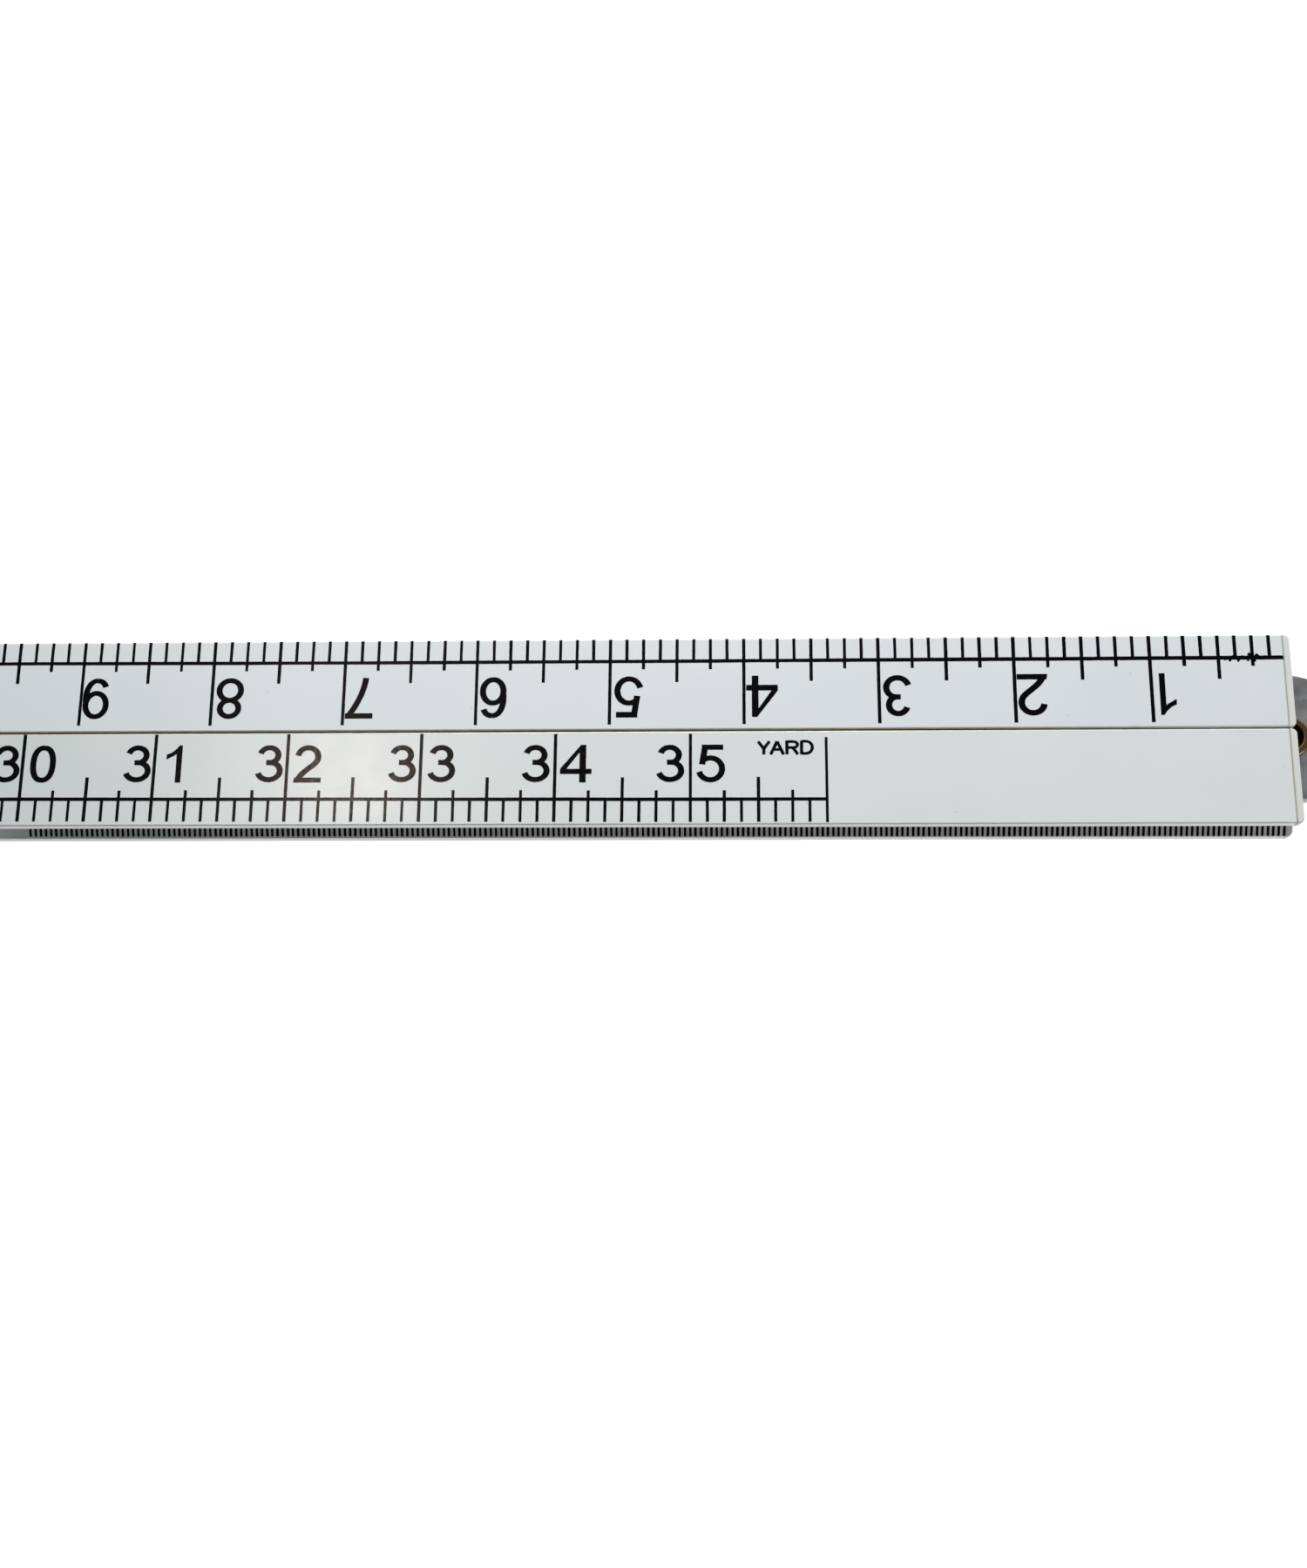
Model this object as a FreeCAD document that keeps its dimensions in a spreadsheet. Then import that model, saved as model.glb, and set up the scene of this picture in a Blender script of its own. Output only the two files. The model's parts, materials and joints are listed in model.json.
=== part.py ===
import FreeCAD, Part
import Sketcher
import os
import sys

# Four-fold rule: two side-by-side legs joined by a round friction joint, each carrying
# a second leg on a butt hinge. Every leg is drawn lying on its outer face with its hinge
# axis over x = 0; the two upper legs are then turned over onto the lower pair.

os.makedirs("parts", exist_ok=True)
doc = FreeCAD.newDocument("folding_rule")

SIZES = [
    ("hinge_to_pivot", "250.5"),
    ("leg_width", "18.15"),
    ("seam_gap", "0.3"),
    ("lower_leg_extra", "0.45"),
    ("leg_thick", "5.2"),
    ("fold_gap", "0.1"),
    ("hinge_end_gap", "0.1"),
    ("pivot_end_gap", "0.2"),
    ("edge_thick", "2.2"),
    ("bevel_width", "6.5"),
    ("edge_round", "0.3"),
    ("corner_round", "1.0"),
    ("tip_length", "1.35"),
    ("tip_corner_round", "1.0"),
    ("tenon_length", "5"),
    ("tenon_width", "9"),
    ("tenon_thick", "1.6"),
    ("tenon_inset", "1.8"),
    ("socket_play", "0.05"),
    ("plate_radius", "12.3"),
    ("plate_thick", "0.8"),
    ("plate_recess", "0.7"),
    ("plate_edge_chamfer", "0.15"),
    ("disc_clearance", "0.3"),
    ("tongue_reach", "36"),
    ("tongue_width", "9"),
    ("tongue_inset", "1.35"),
    ("washer_thick", "0.2"),
    ("washer_radius", "8"),
    ("axial_play", "0.05"),
    ("running_fit", "0.05"),
    ("eyelet_bore", "2.55"),
    ("eyelet_shank", "3.0"),
    ("eyelet_flange", "3.95"),
    ("eyelet_flange_height", "0.5"),
    ("eyelet_outer_round", "0.4"),
    ("eyelet_mouth_round", "0.3"),
    ("plate_pin_radius", "0.9"),
    ("plate_pin_sink", "0.05"),
    ("plate_pin_first", "18"),
    ("plate_pin_second", "30"),
    ("leaf_thick", "0.8"),
    ("leaf_length", "9.8"),
    ("leaf_width", "10"),
    ("leaf_inset", "1.05"),
    ("knuckle_gap", "0.1"),
    ("barrel_radius", "1.6"),
    ("barrel_clearance", "0.3"),
    ("hinge_pin_radius", "0.8"),
    ("hinge_pin_chamfer", "0.15"),
    ("rivet_radius", "0.6"),
    ("rivet_head_height", "0.4"),
    ("rivet_length", "2.8"),
    ("rivet_near", "4.4"),
    ("rivet_far", "7.6"),
    ("rivet_side", "3.0"),
]
DERIVED = [
    ("overall_length", "=barrel_radius + hinge_to_pivot + plate_radius"),
    ("hinge_place", "=barrel_radius - overall_length / 2"),
    ("axis_height", "=leg_thick + fold_gap / 2"),
    ("inner_side", "=seam_gap / 2"),
    ("outer_side", "=seam_gap / 2 + leg_width"),
    ("bevel_side", "=outer_side - bevel_width"),
    ("leg_end", "=hinge_to_pivot - pivot_end_gap"),
    ("tip_start", "=leg_end - tip_length"),
    ("tenon_near", "=inner_side + tenon_inset"),
    ("tenon_far", "=tenon_near + tenon_width"),
    ("tenon_floor", "=(leg_thick - tenon_thick) / 2"),
    ("lower_plate_floor", "=plate_recess"),
    ("upper_plate_floor", "=leg_thick - plate_recess - plate_thick"),
    ("lower_washer_floor", "=plate_recess + plate_thick"),
    ("upper_washer_floor", "=upper_plate_floor - washer_thick"),
    ("middle_plate_floor", "=lower_washer_floor + washer_thick + axial_play"),
    ("middle_plate_thick", "=upper_washer_floor - axial_play - middle_plate_floor"),
    ("tongue_near", "=inner_side + tongue_inset"),
    ("tongue_far", "=tongue_near + tongue_width"),
    ("tongue_end", "=hinge_to_pivot - tongue_reach"),
    ("disc_space", "=plate_radius + disc_clearance"),
    ("plate_pin_side", "=tongue_near + tongue_width / 2"),
    ("leaf_near", "=inner_side + leaf_inset"),
    ("leaf_far", "=leaf_near + leaf_width"),
    ("leaf_floor", "=leg_thick - leaf_thick"),
    ("leaf_middle", "=leaf_near + leaf_width / 2"),
    ("knuckle_pitch", "=leaf_width / 5"),
    ("barrel_space", "=barrel_radius + barrel_clearance"),
]
KNUCKLES = 5

sheet = doc.addObject("Spreadsheet::Sheet", "dims")
for row, (alias, value) in enumerate(SIZES + DERIVED, start=1):
    sheet.set(f"A{row}", alias)
    sheet.set(f"B{row}", value)
    sheet.setAlias(f"B{row}", alias)
doc.recompute()

WORDS = {alias for alias, _ in SIZES + DERIVED}
nodes = {}


def bound(text):
    """An expression with every size name pointed at the sheet, such as leg_end - 2 to dims.leg_end - 2."""
    out = ""
    word = ""
    for letter in text + " ":
        if letter.isalnum() or letter == "_":
            word += letter
            continue
        out += f"dims.{word}" if word in WORDS else word
        out += letter
        word = ""
    return out.strip()


def value_of(text):
    """The present value of an expression, for finding edges."""
    return sheet_value(bound(text))


def sheet_value(expression):
    result = sheet.evalExpression(expression)
    return float(getattr(result, "Value", result))


def set_placement(obj, x="0", y="0", z="0", upper=False):
    """Local origin moved to the hinge end; an upper leg is turned over about the length."""
    turn = FreeCAD.Rotation(FreeCAD.Vector(1, 0, 0), 180 if upper else 0)
    obj.Placement = FreeCAD.Placement(FreeCAD.Vector(0, 0, 0), turn)
    obj.setExpression("Placement.Base.x", bound(x))
    obj.setExpression("Placement.Base.y", bound(y))
    obj.setExpression("Placement.Base.z", bound(z))


def new_body(label, upper=False):
    body = doc.addObject("PartDesign::Body", label)
    body.Label = label
    set_placement(body, "hinge_place", "0", "2 * axis_height" if upper else "0", upper)
    nodes[label] = body
    return body


def sketch_on(body, name, role, offset):
    plane = next(f for f in body.Origin.OriginFeatures if f.Role == role)
    sketch = body.newObject("Sketcher::SketchObject", name)
    sketch.AttachmentSupport = [(plane, "")]
    sketch.MapMode = "FlatFace"
    sketch.setExpression("AttachmentOffset.Base.z", bound(offset))
    return sketch


def pin_point(sketch, geometry, point, across, up):
    """Hold one point of the sketch at distances from its origin that the sheet drives."""
    for kind, text in (("DistanceX", across), ("DistanceY", up)):
        size = value_of(text)
        number = sketch.addConstraint(Sketcher.Constraint(kind, -1, 1, geometry, point, size))
        sketch.setExpression(f"Constraints[{number}]", bound(text))


def draw_polygon(sketch, corners):
    spots = [FreeCAD.Vector(value_of(a), value_of(b), 0) for a, b in corners]
    count = len(spots)
    for i in range(count):
        sketch.addGeometry(Part.LineSegment(spots[i], spots[(i + 1) % count]), False)
    for i in range(count):
        sketch.addConstraint(Sketcher.Constraint("Coincident", i, 2, (i + 1) % count, 1))
    for i, (a, b) in enumerate(corners):
        pin_point(sketch, i, 1, a, b)


def draw_circle(sketch, across, up, radius):
    centre = FreeCAD.Vector(value_of(across), value_of(up), 0)
    up_axis = FreeCAD.Vector(0, 0, 1)
    number = sketch.addGeometry(Part.Circle(centre, up_axis, value_of(radius)), False)
    pin_point(sketch, number, 3, across, up)
    held = sketch.addConstraint(Sketcher.Constraint("Radius", number, value_of(radius)))
    sketch.setExpression(f"Constraints[{held}]", bound(radius))


def box_corners(a0, a1, b0, b1):
    return [(a0, b0), (a1, b0), (a1, b1), (a0, b1)]


def volume(body):
    doc.recompute()
    return body.Shape.Volume


def pad(body, name, role, offset, length, draw, reverse=False):
    """Grow a drawn outline by length along its plane's normal."""
    sketch = sketch_on(body, f"{name}_outline", role, offset)
    draw(sketch)
    feature = body.newObject("PartDesign::Pad", name)
    feature.Profile = sketch
    feature.setExpression("Length", bound(length))
    feature.Reversed = reverse
    sketch.Visibility = False
    doc.recompute()
    return feature


def pocket(body, name, role, offset, length, draw):
    """Cut a drawn outline by length against its plane's normal, and see that it cut."""
    before = volume(body)
    sketch = sketch_on(body, f"{name}_outline", role, offset)
    draw(sketch)
    feature = body.newObject("PartDesign::Pocket", name)
    feature.Profile = sketch
    feature.setExpression("Length", bound(length))
    sketch.Visibility = False
    if volume(body) > before - 1e-4:
        sys.exit(f"{body.Label}: {name} cuts nothing")
    return feature


def soften(body, name, kind, size_name, size, chosen):
    """Round or chamfer the edges that chosen(edge) picks on the body's present shape."""
    doc.recompute()
    tip = body.Tip
    edges = [f"Edge{i}" for i, e in enumerate(tip.Shape.Edges, start=1) if chosen(e)]
    if not edges:
        sys.exit(f"{body.Label}: {name} finds no edge")
    feature = body.newObject(f"PartDesign::{kind}", name)
    feature.Base = (tip, edges)
    feature.setExpression(size_name, bound(size))
    doc.recompute()
    return feature


def near(a, b):
    return abs(a - b) < 1e-4


def edge_box(edge):
    box = edge.BoundBox
    return box.XMin, box.XMax, box.YMin, box.YMax, box.ZMin, box.ZMax


# ---- Legs and end tips ----


def section(side, upper):
    """The leg's cross-section: flat outer face, square inner side, thin bevelled outer edge.

    The lower legs are a little wider than the upper ones that fold onto them.
    """
    extra = "" if upper else " + lower_leg_extra"
    return [
        (f"{side} * inner_side", "0"),
        (f"{side} * (outer_side{extra})", "0"),
        (f"{side} * (outer_side{extra})", "edge_thick"),
        (f"{side} * (bevel_side{extra})", "leg_thick"),
        (f"{side} * inner_side", "leg_thick"),
    ]


def start_leg(label, side, end, upper):
    leg = new_body(label, upper)
    pad(
        leg,
        "blank",
        "YZ_Plane",
        "hinge_end_gap",
        f"{end} - hinge_end_gap",
        lambda s: draw_polygon(s, section(side, upper)),
    )
    return leg


def span(side, low, high):
    """A stretch across the width in ascending order, on either side of the seam."""
    return (low, high) if side > 0 else (f"-({high})", f"-({low})")


def cut_hinge_seat(leg, side):
    """The recess for the hinge leaf, the hollow round its barrel and the rivet holes."""
    low, high = span(side, "leaf_near - socket_play", "leaf_far + socket_play")
    pocket(
        leg,
        "leaf_recess",
        "XY_Plane",
        "leg_thick",
        "leaf_thick",
        lambda s: draw_polygon(s, box_corners("0", "leaf_length + socket_play", low, high)),
    )
    low, high = span(side, "leaf_near - barrel_clearance", "leaf_far + barrel_clearance")
    pocket(
        leg,
        "barrel_hollow",
        "XZ_Plane",
        f"-({low})",
        "leaf_width + 2 * barrel_clearance",
        lambda s: draw_circle(s, "0", "axis_height", "barrel_space"),
    )
    for number, (x, y) in enumerate(rivet_spots(side), start=1):
        pocket(
            leg,
            f"rivet_hole_{number}",
            "XY_Plane",
            "leaf_floor",
            "rivet_length - leaf_thick",
            lambda s, x=x, y=y: draw_circle(s, x, y, "rivet_radius"),
        )


def rivet_spots(side):
    return [
        ("rivet_near", f"{side} * (leaf_middle - rivet_side)"),
        ("rivet_near", f"{side} * (leaf_middle + rivet_side)"),
        ("rivet_far", f"{side} * leaf_middle"),
    ]


def is_outline_edge(edge):
    return edge.Length > 0.3


def tip_leg(label, side):
    """A leg whose free end carries a glued tip on a flat tenon."""
    leg = start_leg(label, side, "tip_start", True)
    soften(leg, "edge_rounds", "Fillet", "Radius", "edge_round", is_outline_edge)
    cut_hinge_seat(leg, side)
    low, high = span(side, "tenon_near - socket_play", "tenon_far + socket_play")
    pocket(
        leg,
        "tip_socket",
        "YZ_Plane",
        "tip_start",
        "tenon_length + socket_play",
        lambda s: draw_polygon(
            s,
            box_corners(low, high, "tenon_floor - socket_play", "tenon_floor + tenon_thick + socket_play"),
        ),
    )
    return leg


def end_tip(label, side):
    """The tip: a slice of the leg's own section with rounded corners, and its tenon."""
    tip = new_body(label, True)
    pad(
        tip,
        "slice",
        "YZ_Plane",
        "tip_start",
        "tip_length",
        lambda s: draw_polygon(s, section(side, True)),
    )
    end = value_of("leg_end")

    def upright_at_end(edge):
        x0, x1, y0, y1, z0, z1 = edge_box(edge)
        return near(x0, end) and near(x1, end) and near(y0, y1) and z1 - z0 > 1

    soften(tip, "corner_rounds", "Fillet", "Radius", "tip_corner_round", upright_at_end)

    def on_outer_face(edge):
        z0, z1 = edge_box(edge)[4:]
        return near(z0, 0) and near(z1, 0)

    soften(tip, "face_rounds", "Fillet", "Radius", "edge_round", on_outer_face)
    low, high = span(side, "tenon_near", "tenon_far")
    pad(
        tip,
        "tenon",
        "YZ_Plane",
        "tip_start",
        "tenon_length",
        lambda s: draw_polygon(s, box_corners(low, high, "tenon_floor", "tenon_floor + tenon_thick")),
        reverse=True,
    )
    return tip


def joint_leg(label, side, slots):
    """A leg that ends at the round joint: cut back round the disc and slotted for its plates."""
    leg = start_leg(label, side, "leg_end", False)
    end = value_of("leg_end")
    outer = side * value_of("outer_side + lower_leg_extra")

    def outer_upright(edge):
        x0, x1, y0, y1, z0, z1 = edge_box(edge)
        return near(x0, end) and near(x1, end) and near(y0, outer) and near(y1, outer)

    soften(leg, "corner_round", "Fillet", "Radius", "corner_round", outer_upright)
    soften(leg, "edge_rounds", "Fillet", "Radius", "edge_round", is_outline_edge)
    pocket(
        leg,
        "disc_cut",
        "XY_Plane",
        "leg_thick",
        "leg_thick",
        lambda s: draw_circle(s, "hinge_to_pivot", "0", "disc_space"),
    )
    low, high = span(side, "tongue_near - socket_play", "tongue_far + socket_play")
    for name, top, depth in slots:
        pocket(
            leg,
            name,
            "XY_Plane",
            top,
            depth,
            lambda s: draw_polygon(
                s,
                box_corners("tongue_end - socket_play", "hinge_to_pivot - plate_radius / 2", low, high),
            ),
        )
    for number, along in enumerate(("plate_pin_first", "plate_pin_second"), start=1):
        pocket(
            leg,
            f"plate_pin_hole_{number}",
            "XY_Plane",
            "leg_thick",
            "leg_thick",
            lambda s, along=along: draw_circle(
                s, f"hinge_to_pivot - {along}", f"{side} * plate_pin_side", "plate_pin_radius"
            ),
        )
    cut_hinge_seat(leg, side)
    return leg


# ---- Round joint ----


def joint_plate(label, side, floor, thick, bore):
    """A round plate with a tongue that runs into its leg."""
    plate = new_body(label)
    pad(
        plate,
        "disc",
        "XY_Plane",
        floor,
        thick,
        lambda s: draw_circle(s, "hinge_to_pivot", "0", "plate_radius"),
    )
    rim_radius = value_of("plate_radius")

    def is_rim(edge):
        return hasattr(edge.Curve, "Radius") and near(edge.Curve.Radius, rim_radius)

    soften(plate, "rim_chamfers", "Chamfer", "Size", "plate_edge_chamfer", is_rim)
    low, high = span(side, "tongue_near", "tongue_far")
    pad(
        plate,
        "tongue",
        "XY_Plane",
        floor,
        thick,
        lambda s: draw_polygon(
            s, box_corners("tongue_end", "hinge_to_pivot - plate_radius / 2", low, high)
        ),
    )
    pocket(
        plate,
        "pivot_hole",
        "XY_Plane",
        f"{floor} + {thick}",
        thick,
        lambda s: draw_circle(s, "hinge_to_pivot", "0", bore),
    )
    for number, along in enumerate(("plate_pin_first", "plate_pin_second"), start=1):
        pocket(
            plate,
            f"pin_hole_{number}",
            "XY_Plane",
            f"{floor} + {thick}",
            thick,
            lambda s, along=along: draw_circle(
                s, f"hinge_to_pivot - {along}", f"{side} * plate_pin_side", "plate_pin_radius"
            ),
        )
    return plate


def washer(label, floor):
    ring = new_body(label)

    def draw(s):
        draw_circle(s, "hinge_to_pivot", "0", "washer_radius")
        draw_circle(s, "hinge_to_pivot", "0", "eyelet_shank + running_fit")

    pad(ring, "ring", "XY_Plane", floor, "washer_thick", draw)
    return ring


def joint_eyelet(label):
    """Hollow rivet with a rolled flange on each outside plate."""
    eyelet = new_body(label)
    sketch = sketch_on(eyelet, "half_section", "XZ_Plane", "0")
    bore = "hinge_to_pivot + eyelet_bore"
    shank = "hinge_to_pivot + eyelet_shank"
    flange = "hinge_to_pivot + eyelet_flange"
    low = "plate_recess"
    high = "leg_thick - plate_recess"
    draw_polygon(
        sketch,
        [
            (bore, f"{low} - eyelet_flange_height"),
            (flange, f"{low} - eyelet_flange_height"),
            (flange, low),
            (shank, low),
            (shank, high),
            (flange, high),
            (flange, f"{high} + eyelet_flange_height"),
            (bore, f"{high} + eyelet_flange_height"),
        ],
    )
    start = FreeCAD.Vector(value_of("hinge_to_pivot"), -1, 0)
    stop = FreeCAD.Vector(value_of("hinge_to_pivot"), 1, 0)
    axis = sketch.addGeometry(Part.LineSegment(start, stop), True)
    pin_point(sketch, axis, 1, "hinge_to_pivot", "-1")
    pin_point(sketch, axis, 2, "hinge_to_pivot", "1")
    turned = eyelet.newObject("PartDesign::Revolution", "turned")
    turned.Profile = sketch
    turned.ReferenceAxis = (sketch, ["Axis0"])
    turned.Angle = 360
    sketch.Visibility = False
    doc.recompute()
    faces = (
        value_of("plate_recess - eyelet_flange_height"),
        value_of("leg_thick - plate_recess + eyelet_flange_height"),
    )

    def flange_edge(radius):
        def chosen(edge):
            round_edge = hasattr(edge.Curve, "Radius") and near(edge.Curve.Radius, radius)
            return round_edge and any(near(edge.BoundBox.ZMin, z) for z in faces)

        return chosen

    outer = flange_edge(value_of("eyelet_flange"))
    soften(eyelet, "outer_rounds", "Fillet", "Radius", "eyelet_outer_round", outer)
    mouth = flange_edge(value_of("eyelet_bore"))
    soften(eyelet, "mouth_rounds", "Fillet", "Radius", "eyelet_mouth_round", mouth)
    return eyelet


# ---- Hinges ----


def hinge_leaf(label, side, upper, own):
    """A butt-hinge leaf: plate, its own knuckles round the pin, and gaps for the other leaf's."""
    leaf = new_body(label, upper)
    low, high = span(side, "leaf_near", "leaf_far")
    pad(
        leaf,
        "plate",
        "XY_Plane",
        "leaf_floor",
        "leaf_thick",
        lambda s: draw_polygon(s, box_corners("0", "leaf_length", low, high)),
    )
    for number in range(KNUCKLES):
        start = f"leaf_near + {number} * knuckle_pitch"
        stop = f"leaf_near + {number + 1} * knuckle_pitch"
        if number in own:
            trim_low = "knuckle_gap / 2" if number > 0 else "0"
            trim_high = "knuckle_gap / 2" if number < KNUCKLES - 1 else "0"
            low, high = span(side, f"{start} + {trim_low}", f"{stop} - {trim_high}")
            pad(
                leaf,
                f"knuckle_{number + 1}",
                "XZ_Plane",
                f"-({low})",
                f"knuckle_pitch - {trim_low} - {trim_high}",
                lambda s: draw_circle(s, "0", "axis_height", "barrel_radius"),
                reverse=True,
            )
    for number in range(KNUCKLES):
        if number in own:
            continue
        start = f"leaf_near + {number} * knuckle_pitch"
        extra_low = "knuckle_gap / 2" if number > 0 else "1"
        extra_high = "knuckle_gap / 2" if number < KNUCKLES - 1 else "1"
        stop = f"leaf_near + {number + 1} * knuckle_pitch"
        low, high = span(side, f"{start} - {extra_low}", f"{stop} + {extra_high}")
        pocket(
            leaf,
            f"knuckle_gap_{number + 1}",
            "XZ_Plane",
            f"-({low})",
            f"knuckle_pitch + {extra_low} + {extra_high}",
            lambda s: draw_circle(s, "0", "axis_height", "barrel_space"),
        )
    low, high = span(side, "leaf_near", "leaf_far")
    fit = "0" if not upper else "running_fit"
    pocket(
        leaf,
        "pin_hole",
        "XZ_Plane",
        f"-({low}) + 1",
        "leaf_width + 2",
        lambda s: draw_circle(s, "0", "axis_height", f"hinge_pin_radius + {fit}"),
    )
    for number, (x, y) in enumerate(rivet_spots(side), start=1):
        pocket(
            leaf,
            f"rivet_hole_{number}",
            "XY_Plane",
            "leg_thick",
            "leaf_thick",
            lambda s, x=x, y=y: draw_circle(s, x, y, "rivet_radius"),
        )
    top = value_of("leg_thick")
    radius = value_of("rivet_radius")

    def hole_mouth(edge):
        if not (hasattr(edge.Curve, "Radius") and near(edge.Curve.Radius, radius)):
            return False
        return near(edge.BoundBox.ZMin, top) and near(edge.BoundBox.ZMax, top)

    soften(leaf, "countersinks", "Chamfer", "Size", "rivet_head_height", hole_mouth)
    return leaf


def hinge_pin(label, side):
    rod = new_body(label)
    low, _ = span(side, "leaf_near", "leaf_far")
    pad(
        rod,
        "shank",
        "XZ_Plane",
        f"-({low})",
        "leaf_width",
        lambda s: draw_circle(s, "0", "axis_height", "hinge_pin_radius"),
        reverse=True,
    )
    soften(
        rod,
        "end_chamfers",
        "Chamfer",
        "Size",
        "hinge_pin_chamfer",
        lambda e: near(e.BoundBox.YMin, e.BoundBox.YMax),
    )
    return rod


# ---- Pins and rivets, in groups ----


def cylinder(name, x, y, floor, height, radius):
    solid = doc.addObject("Part::Cylinder", name)
    solid.setExpression("Radius", bound(radius))
    solid.setExpression("Height", bound(height))
    set_placement(solid, x, y, floor)
    return solid


def cone(name, x, y, floor, height, low_radius, high_radius):
    solid = doc.addObject("Part::Cone", name)
    solid.setExpression("Radius1", bound(low_radius))
    solid.setExpression("Radius2", bound(high_radius))
    solid.setExpression("Height", bound(height))
    set_placement(solid, x, y, floor)
    return solid


def join(name, shapes):
    whole = doc.addObject("Part::MultiFuse", name)
    whole.Label = name
    whole.Shapes = shapes
    return whole


def plate_pins(label, side):
    """Two straight pins that lock the plate tongues in a leg."""
    pins = [
        cylinder(
            f"{label}_{number}",
            f"hinge_to_pivot - {along}",
            f"{side} * plate_pin_side",
            "plate_pin_sink",
            "leg_thick - 2 * plate_pin_sink",
            "plate_pin_radius",
        )
        for number, along in enumerate(("plate_pin_first", "plate_pin_second"), start=1)
    ]
    group = join(label, pins)
    set_placement(group, "hinge_place")
    nodes[label] = group


def leaf_rivets(label, side, upper):
    """Three countersunk rivets that hold one hinge leaf."""
    pieces = []
    for number, (x, y) in enumerate(rivet_spots(side), start=1):
        shank = cylinder(
            f"{label}_shank_{number}",
            x,
            y,
            "leg_thick - rivet_length",
            "rivet_length - rivet_head_height",
            "rivet_radius",
        )
        head = cone(
            f"{label}_head_{number}",
            x,
            y,
            "leg_thick - rivet_head_height",
            "rivet_head_height",
            "rivet_radius",
            "rivet_radius + rivet_head_height",
        )
        pieces += [shank, head]
    group = join(label, pieces)
    set_placement(group, "hinge_place", "0", "2 * axis_height" if upper else "0", upper)
    nodes[label] = group


# ---- The rule ----

# Turning an upper leg over swaps its side, so leg 1 (over leg 2) is drawn on the -1 side.
LOWER_2, LOWER_3 = 1, -1
UPPER_1, UPPER_4 = -1, 1

plate_slots = [
    ("lower_plate_slot", "lower_plate_floor + plate_thick", "plate_thick"),
    ("upper_plate_slot", "upper_plate_floor + plate_thick", "plate_thick"),
]
middle_slot = [
    ("middle_plate_slot", "middle_plate_floor + middle_plate_thick", "middle_plate_thick"),
]
joint_leg("leg_2", LOWER_2, plate_slots)
joint_leg("leg_3", LOWER_3, middle_slot)
tip_leg("leg_1", UPPER_1)
tip_leg("leg_4", UPPER_4)
end_tip("end_tip_1", UPPER_1)
end_tip("end_tip_4", UPPER_4)

joint_plate("joint_plate_lower", LOWER_2, "lower_plate_floor", "plate_thick", "eyelet_shank")
joint_plate("joint_plate_upper", LOWER_2, "upper_plate_floor", "plate_thick", "eyelet_shank")
joint_plate(
    "joint_plate_middle",
    LOWER_3,
    "middle_plate_floor",
    "middle_plate_thick",
    "eyelet_shank + running_fit",
)
washer("friction_washer_lower", "lower_washer_floor")
washer("friction_washer_upper", "upper_washer_floor")
joint_eyelet("joint_eyelet")

hinge_leaf("hinge_leaf_2", LOWER_2, False, (0, 2, 4))
hinge_leaf("hinge_leaf_3", LOWER_3, False, (0, 2, 4))
hinge_leaf("hinge_leaf_1", UPPER_1, True, (1, 3))
hinge_leaf("hinge_leaf_4", UPPER_4, True, (1, 3))
hinge_pin("hinge_pin_a", LOWER_2)
hinge_pin("hinge_pin_b", LOWER_3)

plate_pins("plate_pins_2", LOWER_2)
plate_pins("plate_pins_3", LOWER_3)
leaf_rivets("leaf_rivets_2", LOWER_2, False)
leaf_rivets("leaf_rivets_3", LOWER_3, False)
leaf_rivets("leaf_rivets_1", UPPER_1, True)
leaf_rivets("leaf_rivets_4", UPPER_4, True)

doc.recompute()

for obj in doc.Objects:
    if {"Invalid", "Error"} & set(obj.State):
        sys.exit(f"{obj.Label} failed: {obj.State}")
for label, node in nodes.items():
    shape = node.Shape
    if shape.isNull() or not shape.isValid() or not shape.Solids:
        sys.exit(f"{label} has no valid solid")
for label, node in nodes.items():
    node.Shape.exportStep(f"parts/{label}.step")
    print(label, len(node.Shape.Solids), round(node.Shape.Volume, 1))
print("ok", len(nodes))
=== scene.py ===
import json
import math
import random

import bpy
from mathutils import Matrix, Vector
from mathutils.bvhtree import BVHTree
from mathutils.geometry import delaunay_2d_cdt


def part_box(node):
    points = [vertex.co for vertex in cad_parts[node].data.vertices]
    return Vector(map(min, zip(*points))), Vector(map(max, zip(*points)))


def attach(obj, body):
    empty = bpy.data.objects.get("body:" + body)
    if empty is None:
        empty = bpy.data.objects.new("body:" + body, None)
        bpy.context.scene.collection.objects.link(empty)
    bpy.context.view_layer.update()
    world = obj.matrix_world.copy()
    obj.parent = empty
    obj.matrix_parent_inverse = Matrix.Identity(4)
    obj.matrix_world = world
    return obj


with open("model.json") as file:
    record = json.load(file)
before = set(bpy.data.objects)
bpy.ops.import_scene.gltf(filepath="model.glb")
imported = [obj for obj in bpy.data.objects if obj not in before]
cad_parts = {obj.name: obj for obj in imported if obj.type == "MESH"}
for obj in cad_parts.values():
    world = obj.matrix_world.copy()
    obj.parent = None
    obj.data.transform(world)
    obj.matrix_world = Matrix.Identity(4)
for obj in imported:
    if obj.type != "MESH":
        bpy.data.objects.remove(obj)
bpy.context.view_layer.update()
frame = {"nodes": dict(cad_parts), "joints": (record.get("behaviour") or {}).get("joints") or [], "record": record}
nodes = frame["nodes"]

MM = 0.001
scene = bpy.context.scene


# ---------------------------------------------------------------- places from the frame, in mm

joints = {joint["name"]: joint for joint in frame["joints"]}
HINGE_X = joints["hinge_a"]["pos_m"][0] / MM
PIVOT_X = joints["main_joint"]["pos_m"][0] / MM


def box_mm(node):
    """A node's lowest and highest corners at rest."""
    low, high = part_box(node)
    return low / MM, high / MM


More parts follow.
